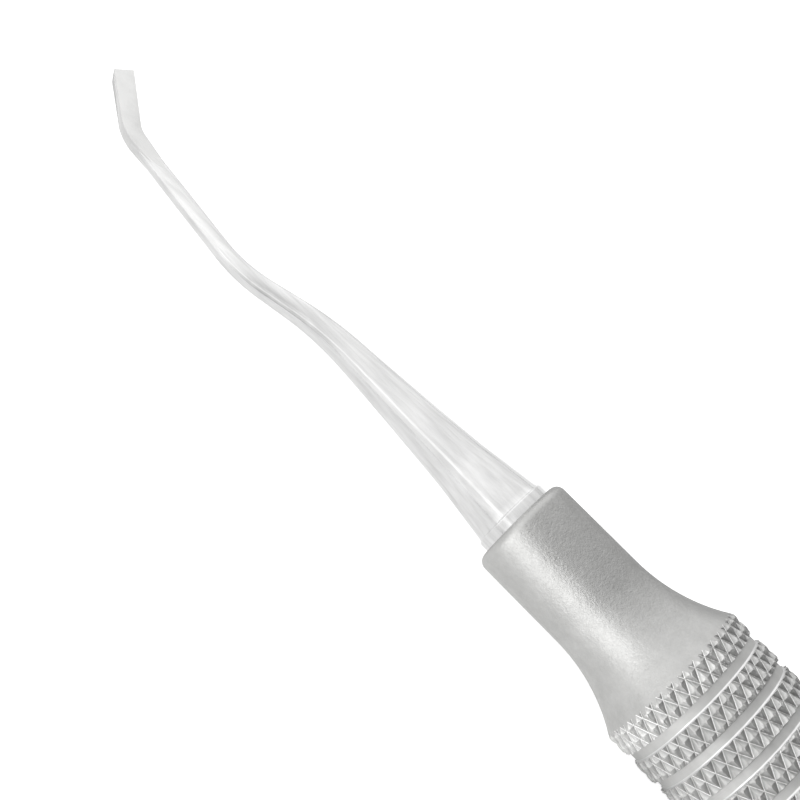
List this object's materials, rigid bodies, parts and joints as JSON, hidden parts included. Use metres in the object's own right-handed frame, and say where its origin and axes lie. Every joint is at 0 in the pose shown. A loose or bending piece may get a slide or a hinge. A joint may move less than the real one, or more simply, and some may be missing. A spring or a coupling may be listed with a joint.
{
  "type": "dental elevator",
  "caption": "Double-ended dental elevator: hollow knurled steel handle, flared collars and thin contra-angled chisel blades at both ends.",
  "frame": {"origin": "on the handle axis, midway between the two collars; also the centre of the bounding box", "axes": "+X along the handle axis towards the front working end, +Z square to the flat blade faces; the front blade hooks towards -Y and the rear blade towards +Y"},
  "size_m": [0.1768, 0.0094, 0.0094],
  "materials": {
    "satin_steel": "bead-blasted satin stainless steel",
    "polished_steel": "mirror-polished stainless steel",
    "silver_braze": "as-flowed silver brazing filler, hidden inside"
  },
  "bodies": {
    "root": {"grip_tube": "satin_steel", "front_collar": "satin_steel", "rear_collar": "satin_steel", "front_working_end": "polished_steel", "rear_working_end": "polished_steel", "front_collar_braze": "silver_braze", "rear_collar_braze": "silver_braze", "front_tang_braze": "silver_braze", "rear_tang_braze": "silver_braze"}
  },
  "joints": []
}
